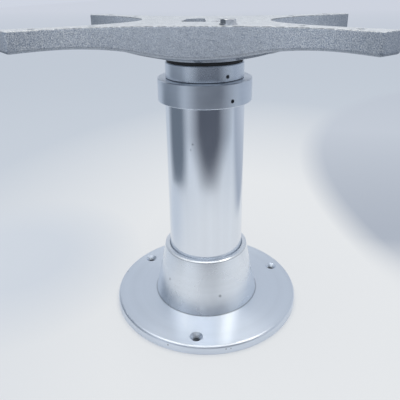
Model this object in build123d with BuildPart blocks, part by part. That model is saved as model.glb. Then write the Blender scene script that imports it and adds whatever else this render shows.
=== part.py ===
"""Electric table pedestal with three telescopic stages, shown fully lowered.

A round floor plate carries a tapered foot and a polished outer tube. Two
inner tubes rise from it on plastic bushes, driven by a gear motor in the top
tube and two nested lifting screws. A sand-cast four-arm spider carries the
table. Lengths are in millimetres, +Z is up, and the origin lies on the floor
at the centre of the plate. The front is -Y.
"""
from build123d import *
import math
import os

os.makedirs("parts", exist_ok=True)

# Floor plate
plate_diameter = 230.0
plate_thickness = 10.4
plate_edge_radius = 3.4
plate_foot_chamfer = 0.5
plate_hole_circle_diameter = 198.0
plate_hole_count = 3
plate_hole_diameter = 6.6
plate_sink_diameter = 15.0
plate_first_hole = -90.0

# Outer tube and the tapered foot round it
tube_diameter = 90.0
tube_wall = 3.5
tube_length = 270.6
cone_lip_width = 6.0
cone_flare_width = 14.0
cone_height = 66.6
cone_lip_chamfer = 1.2

# Collar on the outer tube and ring on the middle tube
collar_wall = 7.8
collar_height = 25.4
collar_lip_height = 5.3
ring_wall = 5.25
ring_height = 16.95
ring_lip_height = 4.75
ring_gap = 0.5
edge_chamfer = 0.8
set_screw_azimuth = -50.3
set_screw_count = 3
set_screw_diameter = 4.0
set_screw_length = 4.7
collar_screw_height = 7.1
ring_screw_height = 5.2
ring_screw_length = 3.2

# Middle and inner tubes
stage_gap = 3.0
middle_wall = 3.0
inner_wall = 3.0
key_width = 8.0
key_depth = 1.4
bush_length = 35.0
glide_length = 18.0
glide_slot_width = 1.5
foot_gap = 1.6

# Clearances
slip = 0.1
running = 0.15
rest_gap = 0.3
turning_gap = 1.2

# Screws that hold the pieces together
cone_screw_count = 4
cone_screw_size = 6.0
cone_screw_length = 22.4
foot_screw_count = 3
foot_screw_size = 5.0
foot_screw_margin = 1.5
tube_screw_size = 4.0
tube_screw_length = 9.0
tube_screw_count = 3
first_tube_screw = 30.0
nut_screw_count = 4
nut_screw_size = 3.0
nut_screw_length = 12.0
gearbox_screw_count = 4
gearbox_screw_size = 4.0
gearbox_screw_length = 13.0
hub_screw_count = 3
hub_screw_size = 6.0
hub_screw_length = 22.0
hole_spare_length = 1.0

# Pieces at the foot of the tubes
foot_ring_height = 8.0
foot_ring_width = 15.5
foot_plate_thickness = 8.0
race_thickness = 2.9
ball_count = 10
ball_play = 0.1
cage_thickness = 1.6
cage_margin = 1.0
screw_flange_thickness = 6.0
circlip_thickness = 1.5
circlip_depth = 1.5
circlip_width = 4.5
circlip_gap_width = 6.0
seat_lip_height = 1.0

# Lifting screws, nuts and bearing, as shares of the inner tube's diameter
lift_screw_share = 0.43
lift_bore_share = 0.277
lower_nut_share = 0.338
standing_screw_share = 0.246
standing_bore_share = 0.138
drive_hex_share = 0.1075
spindle_share = 0.215
lift_nut_share = 0.553
lift_nut_flange_share = 0.769
race_outer_share = 0.553
race_inner_share = 0.308
ball_share = 0.0615
screw_flange_share = 0.615
bearing_seat_share = 0.861
standing_flange_thickness = 6.0
lower_nut_length = 20.0
carrier_thickness = 8.0
lift_nut_flange_thickness = 5.0
lift_nut_length = 14.0
drive_cap_length = 10.0
drive_shaft_engagement = 4.0
spindle_length = 22.0

# Gear motor
gearbox_gap = 8.5
gearbox_length = 28.0
gearbox_bore_length = 16.0
motor_inset = 1.0
motor_length = 42.0
motor_boss_length = 3.0
motor_gap = 2.0
motor_edge_chamfer = 1.5
mount_thickness = 6.0
cap_thickness = 12.0
grommet_place = (-9.0, 0.0)
grommet_radius = 6.0
grommet_lip_radius = 8.0
grommet_lip_thickness = 1.5
grommet_bore_radius = 3.5

# Rubber buffer and cast spider
buffer_inset = 1.75
buffer_thickness = 3.25
spider_depth = 38.7
hub_lip_width = 0.25
hub_floor = 12.0
hub_wall = 17.5
hub_screw_inset = 6.0
hub_screw_span = 100.0
spider_plate = 7.0
spider_wall = 6.5
spider_reach = 225.0
spider_rib = 6.0
spider_lower_radius = 3.0
spider_top_radius = 1.2
arm_thickness = 18.7
bell_curve = ((16.0, 0.815), (36.0, 0.565), (56.0, 0.27), (76.0, 0.11), (106.0, 0.01))
arm_side_x = 171.5
arm_side_y = 117.0
arm_end_x = 150.3
arm_end_y = 138.5
notch_side = 70.7
notch_front = 78.8
notch_side_power = 1.95
notch_front_power = 3.01
tip_radius = 3.5
outer_table_screw = (139.0, 111.5)
inner_table_screw = (96.0, 78.5)
table_screw_diameter = 7.0
table_boss_radius = 8.0

# Bolt on the spider and cable window in its hub
bolt_place = (30.0, -65.0)
bolt_turn = 15.0
bolt_diameter = 8.0
bolt_tail_length = 3.0
bolt_tail_chamfer = 0.8
bolt_head_across_flats = 13.0
bolt_head_height = 4.1
washer_diameter = 17.0
washer_thickness = 1.3
nut_height = 6.5
window_corner = 2.0
window_left = -22.0
window_right = 5.0
window_slant = 8.0
window_front = 25.0
window_back = 28.0

# Diameters and radii worked out from the sizes above
tube_bore = tube_diameter / 2 - tube_wall
cone_top_diameter = tube_diameter + 2 * cone_lip_width
cone_foot_diameter = cone_top_diameter + 2 * cone_flare_width
cone_screw_radius = (tube_diameter + cone_foot_diameter) / 4
collar_diameter = tube_diameter + 2 * collar_wall
middle_radius = tube_bore - stage_gap
middle_bore = middle_radius - middle_wall
ring_diameter = 2 * (middle_radius + ring_wall)
ring_bore = middle_radius + slip
inner_radius = middle_bore - stage_gap
inner_bore = inner_radius - inner_wall
inner_diameter = 2 * inner_radius
foot_ring_bore = tube_bore - foot_ring_width
standing_flange_radius = foot_ring_bore - turning_gap
lift_screw_diameter = inner_diameter * lift_screw_share
lift_screw_bore = inner_diameter * lift_bore_share
lower_nut_diameter = inner_diameter * lower_nut_share
standing_screw_diameter = inner_diameter * standing_screw_share
standing_screw_bore = inner_diameter * standing_bore_share
drive_hex_across_flats = inner_diameter * drive_hex_share
spindle_diameter = inner_diameter * spindle_share
lift_nut_diameter = inner_diameter * lift_nut_share
lift_nut_flange_diameter = inner_diameter * lift_nut_flange_share
race_outer = inner_diameter * race_outer_share
race_inner = inner_diameter * race_inner_share
ball_diameter = inner_diameter * ball_share
screw_flange_diameter = inner_diameter * screw_flange_share
bearing_seat_diameter = inner_diameter * bearing_seat_share
gearbox_diameter = 2 * (inner_bore - gearbox_gap)
motor_diameter = gearbox_diameter - 2 * motor_inset
buffer_diameter = ring_diameter - 2 * buffer_inset
hub_radius = ring_diameter / 2 + hub_lip_width
hub_wall_radius = inner_radius + hub_wall
hub_screw_radius = inner_bore - hub_screw_inset

# Heights worked out from the sizes above
foot_ring_top = plate_thickness + foot_ring_height
middle_bottom = foot_ring_top + foot_gap
foot_plate_top = middle_bottom + foot_plate_thickness
balls_height = foot_plate_top + race_thickness + ball_play + ball_diameter / 2
upper_race_bottom = balls_height + ball_diameter / 2 + ball_play
lift_bottom = upper_race_bottom + race_thickness
lift_flange_top = lift_bottom + screw_flange_thickness
circlip_bottom = lift_flange_top + rest_gap
bearing_seat_top = circlip_bottom + circlip_thickness + seat_lip_height
inner_bottom = bearing_seat_top + turning_gap
carrier_top = inner_bottom + carrier_thickness
lift_nut_top = carrier_top + lift_nut_length
lower_nut_top = lift_bottom + lower_nut_length
cone_top = plate_thickness + cone_height
tube_top = plate_thickness + tube_length
collar_top = tube_top + collar_lip_height
collar_bottom = collar_top - collar_height
ring_bottom = collar_top + ring_gap
ring_top = ring_bottom + ring_height
middle_top = ring_top - ring_lip_height
buffer_top = ring_top + buffer_thickness
hub_bottom = buffer_top + rest_gap
spider_top = hub_bottom + spider_depth
inner_top = spider_top - hub_floor
cap_bottom = inner_top - cap_thickness
motor_top = cap_bottom - motor_gap
gearbox_top = motor_top - motor_length
mount_top = gearbox_top - gearbox_length
mount_bottom = mount_top - mount_thickness
lift_top = mount_bottom - 2 * motor_gap
stage_travel = lift_top - lift_nut_top
standing_top = lower_nut_top + stage_travel
drive_bottom = lower_nut_top - drive_shaft_engagement
drive_top = mount_top + gearbox_bore_length - drive_shaft_engagement

down = (Align.CENTER, Align.CENTER, Align.MAX)
up = (Align.CENTER, Align.CENTER, Align.MIN)


def countersunk_screw(size, length):
    """Countersunk screw, its flat head at z = 0 and its tip below."""
    with BuildPart() as screw:
        Cone(size / 2, size, size / 2, align=down)
        Cylinder(size / 2, length, align=down)
        with BuildSketch():
            RegularPolygon(size * 0.3, 6, major_radius=False)
        extrude(amount=-size * 0.45, mode=Mode.SUBTRACT)
    return screw.part


def grub_screw(size, length):
    """Socket set screw with its hex socket at z = 0 and its tip below."""
    with BuildPart() as screw:
        Cylinder(size / 2, length, align=down)
        with BuildSketch():
            RegularPolygon(size * 0.25, 6, major_radius=False)
        extrude(amount=-length * 0.5, mode=Mode.SUBTRACT)
    return screw.part


def hexagon(across_flats, height):
    """Hexagonal head or nut from z = 0 up, with the corners of its top turned off."""
    corner = across_flats / math.sqrt(3)
    flat_top = across_flats * 0.47
    drop = (corner - flat_top) * math.tan(math.radians(30))
    with BuildPart() as blank:
        with BuildSketch():
            RegularPolygon(across_flats / 2, 6, major_radius=False)
        extrude(amount=height)
        with BuildSketch(Plane.XZ):
            Polygon(
                (0, 0),
                (corner + drop, 0),
                (corner + drop, height - drop),
                (corner, height - drop),
                (flat_top, height),
                (0, height),
                align=None,
            )
        revolve(axis=Axis.Z, mode=Mode.INTERSECT)
    return blank.part


def tube(outer, bore, bottom, top):
    """Plain tube between two heights, added to the part being built."""
    with Locations((0, 0, bottom)):
        Cylinder(outer, top - bottom, align=up)
        Cylinder(bore, top - bottom, align=up, mode=Mode.SUBTRACT)


def keyway(radius, bottom, top):
    """Keyway cut down the back of a tube, from the given radius outwards."""
    with Locations((0, radius, bottom)):
        Box(
            key_width,
            key_depth * 3,
            top - bottom,
            align=(Align.CENTER, Align.MIN, Align.MIN),
            mode=Mode.SUBTRACT,
        )


# Floor plate, turned from aluminium, with its countersunk floor holes
floor_holes = PolarLocations(plate_hole_circle_diameter / 2, plate_hole_count, plate_first_hole)
cone_screws_at = PolarLocations(cone_screw_radius, cone_screw_count, 45)
foot_ring_screws_at = PolarLocations((foot_ring_bore + tube_bore) / 2, foot_screw_count, 30)
standing_screws_at = PolarLocations(standing_flange_radius * 0.68, foot_screw_count, -30)
under = Location((0, 0, 0), (180, 0, 0))
with BuildPart() as base_plate:
    with BuildSketch():
        Circle(plate_diameter / 2)
    extrude(amount=plate_thickness)
    fillet(base_plate.edges().group_by(Axis.Z)[-1], plate_edge_radius)
    chamfer(base_plate.edges().group_by(Axis.Z)[0], plate_foot_chamfer)
    with floor_holes:
        with Locations((0, 0, plate_thickness)):
            CounterSinkHole(plate_hole_diameter / 2, plate_sink_diameter / 2)
    with cone_screws_at:
        with Locations(under):
            CounterSinkHole(cone_screw_size / 2 + slip, cone_screw_size + slip)
    with foot_ring_screws_at:
        with Locations(under):
            CounterSinkHole(foot_screw_size / 2 + slip, foot_screw_size + slip)
    with standing_screws_at:
        with Locations(under):
            CounterSinkHole(foot_screw_size / 2 + slip, foot_screw_size + slip)
base_plate.part.label = "base_plate"
export_step(base_plate.part, "parts/base_plate.step")

# Tapered foot that stands on the plate round the outer tube
with BuildPart() as base_cone:
    with BuildSketch(Plane.XZ):
        with BuildLine():
            Polyline(
                (tube_diameter / 2 + slip, plate_thickness),
                (cone_foot_diameter / 2, plate_thickness),
                (cone_top_diameter / 2, cone_top),
                (tube_diameter / 2 + slip, cone_top),
                close=True,
            )
        make_face()
    revolve(axis=Axis.Z)
    chamfer(base_cone.edges().group_by(Axis.Z)[-1], cone_lip_chamfer)
    with cone_screws_at:
        with Locations(Location((0, 0, plate_thickness), (180, 0, 0))):
            Hole(
                cone_screw_size / 2 + slip, cone_screw_length - plate_thickness + hole_spare_length
            )
base_cone.part.label = "base_cone"
export_step(base_cone.part, "parts/base_cone.step")

with BuildPart() as cone_screws:
    with cone_screws_at:
        with Locations(under):
            add(countersunk_screw(cone_screw_size, cone_screw_length))
cone_screws.part.label = "cone_screws"
export_step(cone_screws.part, "parts/cone_screws.step")

# Outer tube and the ring inside its foot that the floor plate is screwed to
with BuildPart() as outer_tube:
    tube(tube_diameter / 2, tube_bore, plate_thickness, tube_top)
outer_tube.part.label = "outer_tube"
export_step(outer_tube.part, "parts/outer_tube.step")

foot_ring_screw_length = plate_thickness + foot_ring_height - foot_screw_margin
with BuildPart() as foot_ring:
    tube(tube_bore - slip, foot_ring_bore, plate_thickness, foot_ring_top)
    with foot_ring_screws_at:
        with Locations(Location((0, 0, plate_thickness), (180, 0, 0))):
            Hole(foot_screw_size / 2 + slip)
foot_ring.part.label = "foot_ring"
export_step(foot_ring.part, "parts/foot_ring.step")

with BuildPart() as foot_ring_screws:
    with foot_ring_screws_at:
        with Locations(under):
            add(countersunk_screw(foot_screw_size, foot_ring_screw_length))
foot_ring_screws.part.label = "foot_ring_screws"
export_step(foot_ring_screws.part, "parts/foot_ring_screws.step")

# Collar over the top of the outer tube, with its set screws and keyed bush
collar_screws_at = PolarLocations(collar_diameter / 2, set_screw_count, set_screw_azimuth)
collar_screw_z = collar_bottom + collar_screw_height
with BuildPart() as collar:
    tube(collar_diameter / 2, tube_diameter / 2 + slip, collar_bottom, tube_top)
    tube(collar_diameter / 2, middle_radius + turning_gap, tube_top, collar_top)
    chamfer(collar.edges().group_by(Axis.Z)[0].sort_by(SortBy.LENGTH)[-1], edge_chamfer)
    chamfer(collar.edges().group_by(Axis.Z)[-1].sort_by(SortBy.LENGTH)[-1], edge_chamfer)
    with collar_screws_at:
        with Locations(Location((0, 0, collar_screw_z), (0, 90, 0))):
            Hole(set_screw_diameter / 2, collar_wall)
collar.part.label = "collar"
export_step(collar.part, "parts/collar.step")

collar_grub_radius = tube_diameter / 2 + slip + set_screw_length
with BuildPart() as collar_screws:
    with PolarLocations(collar_grub_radius, set_screw_count, set_screw_azimuth):
        with Locations(Location((0, 0, collar_screw_z), (0, 90, 0))):
            add(grub_screw(set_screw_diameter - slip, set_screw_length))
collar_screws.part.label = "collar_screws"
export_step(collar_screws.part, "parts/collar_screws.step")

with BuildPart() as collar_bush:
    tube(tube_bore - slip, middle_radius + running, tube_top - bush_length, tube_top)
    with BuildSketch(Plane.XY.offset(tube_top - bush_length)):
        with Locations((0, middle_radius - key_depth + running)):
            Rectangle(
                key_width - 2 * running,
                key_depth + 2 * running,
                align=(Align.CENTER, Align.MIN),
            )
    extrude(amount=bush_length)
collar_bush.part.label = "collar_bush"
export_step(collar_bush.part, "parts/collar_bush.step")

# Standing screw, hollow, bolted to the floor plate from below
with BuildPart() as standing_screw:
    tube(
        standing_flange_radius,
        standing_screw_bore / 2,
        plate_thickness,
        plate_thickness + standing_flange_thickness,
    )
    tube(
        standing_screw_diameter / 2,
        standing_screw_bore / 2,
        plate_thickness + standing_flange_thickness,
        standing_top,
    )
    chamfer(standing_screw.edges().group_by(Axis.Z)[-1].sort_by(SortBy.LENGTH)[-1], edge_chamfer)
    with standing_screws_at:
        with Locations(Location((0, 0, plate_thickness), (180, 0, 0))):
            Hole(foot_screw_size / 2 + slip, standing_flange_thickness)
standing_screw.part.label = "standing_screw"
export_step(standing_screw.part, "parts/standing_screw.step")

standing_bolt_length = plate_thickness + standing_flange_thickness - hole_spare_length
with BuildPart() as standing_screw_bolts:
    with standing_screws_at:
        with Locations(under):
            add(countersunk_screw(foot_screw_size, standing_bolt_length))
standing_screw_bolts.part.label = "standing_screw_bolts"
export_step(standing_screw_bolts.part, "parts/standing_screw_bolts.step")

# Middle tube with its keyway, foot plate, glide ring and screws
glide_bottom = middle_bottom + turning_gap
foot_plate_screw_z = (middle_bottom + foot_plate_top) / 2
foot_plate_screws_at = PolarLocations(middle_radius, tube_screw_count, first_tube_screw)
with BuildPart() as middle_tube:
    tube(middle_radius, middle_bore, middle_bottom, middle_top)
    keyway(middle_radius - key_depth, glide_bottom + glide_length + turning_gap, middle_top)
    with foot_plate_screws_at:
        with Locations(Location((0, 0, foot_plate_screw_z), (0, 90, 0))):
            CounterSinkHole(
                tube_screw_size / 2 + slip, tube_screw_size + slip, middle_wall + hole_spare_length
            )
middle_tube.part.label = "middle_tube"
export_step(middle_tube.part, "parts/middle_tube.step")

with BuildPart() as foot_plate:
    tube(
        middle_bore - slip,
        standing_screw_diameter / 2 + turning_gap,
        middle_bottom,
        foot_plate_top,
    )
    tube(
        bearing_seat_diameter / 2,
        screw_flange_diameter / 2 + 2 * rest_gap,
        foot_plate_top,
        bearing_seat_top,
    )
    with BuildSketch(Plane.XY.offset(circlip_bottom - slip / 2)):
        Circle(screw_flange_diameter / 2 + 2 * rest_gap + circlip_depth)
    extrude(amount=circlip_thickness + slip, mode=Mode.SUBTRACT)
    with PolarLocations(middle_bore, tube_screw_count, first_tube_screw):
        with Locations(Location((0, 0, foot_plate_screw_z), (0, 90, 0))):
            Hole(tube_screw_size / 2 + slip, tube_screw_length)
foot_plate.part.label = "foot_plate"
export_step(foot_plate.part, "parts/foot_plate.step")

with BuildPart() as foot_plate_screws:
    with foot_plate_screws_at:
        with Locations(Location((0, 0, foot_plate_screw_z), (0, 90, 0))):
            add(countersunk_screw(tube_screw_size, tube_screw_length))
    with BuildSketch(Plane.XY.offset(middle_bottom)):
        Circle(middle_radius)
    extrude(amount=foot_plate_thickness, mode=Mode.INTERSECT)
foot_plate_screws.part.label = "foot_plate_screws"
export_step(foot_plate_screws.part, "parts/foot_plate_screws.step")

with BuildPart() as middle_glide:
    tube(tube_bore - running, middle_radius + slip, glide_bottom, glide_bottom + glide_length)
    with BuildSketch(Plane.XY.offset(glide_bottom)):
        with Locations((0, middle_radius)):
            Rectangle(glide_slot_width, 4 * stage_gap)
    extrude(amount=glide_length, mode=Mode.SUBTRACT)
middle_glide.part.label = "middle_glide"
export_step(middle_glide.part, "parts/middle_glide.step")

# Thrust bearing under the lift screw, with its circlip
ball_circle = (race_outer + race_inner) / 4
cage_bottom = balls_height - cage_thickness / 2
cage_top = balls_height + cage_thickness / 2
with BuildPart() as lower_race:
    tube(race_outer / 2, race_inner / 2, foot_plate_top, foot_plate_top + race_thickness)
lower_race.part.label = "lower_race"
export_step(lower_race.part, "parts/lower_race.step")

with BuildPart() as bearing_cage:
    tube(race_outer / 2 - cage_margin, race_inner / 2 + cage_margin, cage_bottom, cage_top)
    with BuildSketch(Plane.XY.offset(cage_bottom)):
        with PolarLocations(ball_circle, ball_count):
            Circle(ball_diameter / 2 + slip)
    extrude(amount=cage_thickness, mode=Mode.SUBTRACT)
bearing_cage.part.label = "bearing_cage"
export_step(bearing_cage.part, "parts/bearing_cage.step")

with BuildPart() as bearing_balls:
    with Locations((0, 0, balls_height)):
        with PolarLocations(ball_circle, ball_count):
            Sphere(ball_diameter / 2)
bearing_balls.part.label = "bearing_balls"
export_step(bearing_balls.part, "parts/bearing_balls.step")

with BuildPart() as upper_race:
    tube(race_outer / 2, race_inner / 2, upper_race_bottom, lift_bottom)
upper_race.part.label = "upper_race"
export_step(upper_race.part, "parts/upper_race.step")

circlip_radius = screw_flange_diameter / 2 + 2 * rest_gap + circlip_depth - slip
with BuildPart() as circlip:
    with BuildSketch(Plane.XY.offset(circlip_bottom)):
        Circle(circlip_radius)
        Circle(circlip_radius - circlip_width, mode=Mode.SUBTRACT)
        with Locations((0, -circlip_radius)):
            Rectangle(circlip_gap_width, 3 * circlip_width, mode=Mode.SUBTRACT)
    extrude(amount=circlip_thickness)
circlip.part.label = "circlip"
export_step(circlip.part, "parts/circlip.step")

# Lift screw, hollow, with its lower nut and its hexagonal drive cap
with BuildPart() as lift_screw:
    tube(screw_flange_diameter / 2, lift_screw_bore / 2, lift_bottom, lift_flange_top)
    tube(lift_screw_diameter / 2, lift_screw_bore / 2, lift_flange_top, lift_top)
    with BuildSketch(Plane.XY.offset(lift_bottom)):
        Circle(lower_nut_diameter / 2 + slip)
    extrude(amount=lower_nut_length, mode=Mode.SUBTRACT)
    with BuildSketch(Plane.XY.offset(lift_top - drive_cap_length)):
        Circle(lower_nut_diameter / 2 + slip)
    extrude(amount=drive_cap_length, mode=Mode.SUBTRACT)
lift_screw.part.label = "lift_screw"
export_step(lift_screw.part, "parts/lift_screw.step")

with BuildPart() as lower_nut:
    tube(
        lower_nut_diameter / 2,
        standing_screw_diameter / 2 + running,
        lift_bottom,
        lower_nut_top,
    )
lower_nut.part.label = "lower_nut"
export_step(lower_nut.part, "parts/lower_nut.step")

with BuildPart() as drive_cap:
    with BuildSketch(Plane.XY.offset(lift_top - drive_cap_length)):
        Circle(lower_nut_diameter / 2)
        RegularPolygon(
            drive_hex_across_flats / 2 + 2 * running, 6, major_radius=False, mode=Mode.SUBTRACT
        )
    extrude(amount=drive_cap_length)
drive_cap.part.label = "drive_cap"
export_step(drive_cap.part, "parts/drive_cap.step")

# Drive shaft, a hexagonal bar pinned into the gearbox spindle
with BuildPart() as drive_shaft:
    with BuildSketch(Plane.XY.offset(drive_bottom)):
        RegularPolygon(drive_hex_across_flats / 2, 6, major_radius=False)
    extrude(amount=drive_top - drive_bottom)
drive_shaft.part.label = "drive_shaft"
export_step(drive_shaft.part, "parts/drive_shaft.step")

spindle_bottom = lift_top + motor_gap
with BuildPart() as output_spindle:
    with BuildSketch(Plane.XY.offset(spindle_bottom)):
        Circle(spindle_diameter / 2)
    extrude(amount=spindle_length)
    with BuildSketch(Plane.XY.offset(spindle_bottom)):
        RegularPolygon(drive_hex_across_flats / 2 + slip, 6, major_radius=False)
    extrude(amount=drive_top - spindle_bottom, mode=Mode.SUBTRACT)
output_spindle.part.label = "output_spindle"
export_step(output_spindle.part, "parts/output_spindle.step")

# Ring over the top of the middle tube, with its set screws, bush and buffer
ring_screw_z = ring_bottom + ring_screw_height
ring_grub_radius = ring_bore + ring_screw_length
with BuildPart() as upper_ring:
    tube(ring_diameter / 2, ring_bore, ring_bottom, middle_top)
    tube(ring_diameter / 2, inner_radius + turning_gap, middle_top, ring_top)
    chamfer(upper_ring.edges().group_by(Axis.Z)[0].sort_by(SortBy.LENGTH)[-1], edge_chamfer / 2)
    chamfer(upper_ring.edges().group_by(Axis.Z)[-1].sort_by(SortBy.LENGTH)[-1], edge_chamfer)
    with PolarLocations(ring_diameter / 2, set_screw_count, set_screw_azimuth):
        with Locations(Location((0, 0, ring_screw_z), (0, 90, 0))):
            Hole(set_screw_diameter / 2, ring_wall)
upper_ring.part.label = "upper_ring"
export_step(upper_ring.part, "parts/upper_ring.step")

with BuildPart() as ring_screws:
    with PolarLocations(ring_grub_radius, set_screw_count, set_screw_azimuth):
        with Locations(Location((0, 0, ring_screw_z), (0, 90, 0))):
            add(grub_screw(set_screw_diameter - slip, ring_screw_length))
ring_screws.part.label = "ring_screws"
export_step(ring_screws.part, "parts/ring_screws.step")

with BuildPart() as ring_bush:
    tube(middle_bore - slip, inner_radius + running, middle_top - bush_length, middle_top)
    with BuildSketch(Plane.XY.offset(middle_top - bush_length)):
        with Locations((0, inner_radius - key_depth + running)):
            Rectangle(
                key_width - 2 * running,
                key_depth + 2 * running,
                align=(Align.CENTER, Align.MIN),
            )
    extrude(amount=bush_length)
ring_bush.part.label = "ring_bush"
export_step(ring_bush.part, "parts/ring_bush.step")

with BuildPart() as buffer_ring:
    tube(buffer_diameter / 2, inner_radius + turning_gap, ring_top, buffer_top)
    chamfer(buffer_ring.edges().group_by(Axis.Z)[-1].sort_by(SortBy.LENGTH)[-1], edge_chamfer)
buffer_ring.part.label = "buffer_ring"
export_step(buffer_ring.part, "parts/buffer_ring.step")

# Inner tube with its keyway, glide ring, nut carrier and lift nut
inner_glide_bottom = inner_bottom + turning_gap
carrier_screw_z = (inner_bottom + carrier_top) / 2
mount_screw_z = (mount_bottom + mount_top) / 2
cap_screw_z = (cap_bottom + inner_top) / 2
with BuildPart() as inner_tube:
    tube(inner_radius, inner_bore, inner_bottom, inner_top)
    keyway(
        inner_radius - key_depth,
        inner_glide_bottom + glide_length + turning_gap,
        hub_bottom - turning_gap,
    )
    for height in (carrier_screw_z, mount_screw_z, cap_screw_z):
        with PolarLocations(inner_radius, tube_screw_count, first_tube_screw):
            with Locations(Location((0, 0, height), (0, 90, 0))):
                CounterSinkHole(
                    tube_screw_size / 2 + slip, tube_screw_size + slip, inner_wall + hole_spare_length
                )
inner_tube.part.label = "inner_tube"
export_step(inner_tube.part, "parts/inner_tube.step")


def tube_screws(height, thickness):
    """Three radial screws through the inner tube's wall, trimmed to its outside."""
    with BuildPart() as screws:
        with PolarLocations(inner_radius, tube_screw_count, first_tube_screw):
            with Locations(Location((0, 0, height), (0, 90, 0))):
                add(countersunk_screw(tube_screw_size, tube_screw_length))
        with BuildSketch(Plane.XY.offset(height - thickness / 2)):
            Circle(inner_radius)
        extrude(amount=thickness, mode=Mode.INTERSECT)
    return screws


with BuildPart() as inner_glide:
    tube(
        middle_bore - running,
        inner_radius + slip,
        inner_glide_bottom,
        inner_glide_bottom + glide_length,
    )
    with BuildSketch(Plane.XY.offset(inner_glide_bottom)):
        with Locations((0, inner_radius)):
            Rectangle(glide_slot_width, 4 * stage_gap)
    extrude(amount=glide_length, mode=Mode.SUBTRACT)
inner_glide.part.label = "inner_glide"
export_step(inner_glide.part, "parts/inner_glide.step")

nut_screw_circle = (lift_nut_diameter + lift_nut_flange_diameter) / 4
with BuildPart() as nut_carrier:
    tube(
        inner_bore - slip,
        lift_screw_diameter / 2 + 2 * rest_gap,
        inner_bottom,
        carrier_top,
    )
    with PolarLocations(inner_bore, tube_screw_count, first_tube_screw):
        with Locations(Location((0, 0, carrier_screw_z), (0, 90, 0))):
            Hole(tube_screw_size / 2 + slip, tube_screw_length)
    with PolarLocations(nut_screw_circle, nut_screw_count, 45):
        with Locations(Location((0, 0, carrier_top))):
            Hole(nut_screw_size / 2 + slip)
nut_carrier.part.label = "nut_carrier"
export_step(nut_carrier.part, "parts/nut_carrier.step")

carrier_screws = tube_screws(carrier_screw_z, carrier_thickness)
carrier_screws.part.label = "carrier_screws"
export_step(carrier_screws.part, "parts/carrier_screws.step")

with BuildPart() as lift_nut:
    tube(
        lift_nut_flange_diameter / 2,
        lift_screw_diameter / 2 + running,
        carrier_top,
        carrier_top + lift_nut_flange_thickness,
    )
    tube(
        lift_nut_diameter / 2,
        lift_screw_diameter / 2 + running,
        carrier_top + lift_nut_flange_thickness,
        lift_nut_top,
    )
    with PolarLocations(nut_screw_circle, nut_screw_count, 45):
        with Locations(Location((0, 0, carrier_top + lift_nut_flange_thickness))):
            CounterSinkHole(
                nut_screw_size / 2 + slip, nut_screw_size + slip, lift_nut_flange_thickness
            )
lift_nut.part.label = "lift_nut"
export_step(lift_nut.part, "parts/lift_nut.step")

with BuildPart() as nut_screws:
    with PolarLocations(nut_screw_circle, nut_screw_count, 45):
        with Locations(Location((0, 0, carrier_top + lift_nut_flange_thickness))):
            add(countersunk_screw(nut_screw_size, nut_screw_length))
nut_screws.part.label = "nut_screws"
export_step(nut_screws.part, "parts/nut_screws.step")

# Gear motor on its mount plate inside the inner tube
gearbox_screw_circle = gearbox_diameter * 0.4
with BuildPart() as motor_mount:
    tube(inner_bore - slip, spindle_diameter / 2 + turning_gap, mount_bottom, mount_top)
    with PolarLocations(inner_bore, tube_screw_count, first_tube_screw):
        with Locations(Location((0, 0, mount_screw_z), (0, 90, 0))):
            Hole(tube_screw_size / 2 + slip, tube_screw_length)
    with PolarLocations(gearbox_screw_circle, gearbox_screw_count):
        with Locations(Location((0, 0, mount_bottom), (180, 0, 0))):
            CounterSinkHole(gearbox_screw_size / 2 + slip, gearbox_screw_size + slip)
motor_mount.part.label = "motor_mount"
export_step(motor_mount.part, "parts/motor_mount.step")

mount_screws = tube_screws(mount_screw_z, mount_thickness)
mount_screws.part.label = "mount_screws"
export_step(mount_screws.part, "parts/mount_screws.step")

with BuildPart() as gearbox:
    tube(
        gearbox_diameter / 2,
        spindle_diameter / 2 + 2 * running,
        mount_top,
        mount_top + gearbox_bore_length,
    )
    with BuildSketch(Plane.XY.offset(mount_top + gearbox_bore_length)):
        Circle(gearbox_diameter / 2)
    extrude(amount=gearbox_length - gearbox_bore_length)
    with PolarLocations(gearbox_screw_circle, gearbox_screw_count):
        with Locations(Location((0, 0, mount_top), (180, 0, 0))):
            Hole(
                gearbox_screw_size / 2 + slip,
                gearbox_screw_length - mount_thickness + hole_spare_length,
            )
gearbox.part.label = "gearbox"
export_step(gearbox.part, "parts/gearbox.step")

with BuildPart() as gearbox_screws:
    with PolarLocations(gearbox_screw_circle, gearbox_screw_count):
        with Locations(Location((0, 0, mount_bottom), (180, 0, 0))):
            add(countersunk_screw(gearbox_screw_size, gearbox_screw_length))
gearbox_screws.part.label = "gearbox_screws"
export_step(gearbox_screws.part, "parts/gearbox_screws.step")

with BuildPart() as motor:
    with BuildSketch(Plane.XY.offset(gearbox_top)):
        Circle(motor_diameter / 2)
    extrude(amount=motor_length - motor_boss_length)
    chamfer(motor.edges().group_by(Axis.Z)[-1], motor_edge_chamfer)
    with BuildSketch(Plane.XY.offset(motor_top - motor_boss_length)):
        Circle(motor_diameter / 4)
    extrude(amount=motor_boss_length)
motor.part.label = "motor"
export_step(motor.part, "parts/motor.step")

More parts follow.
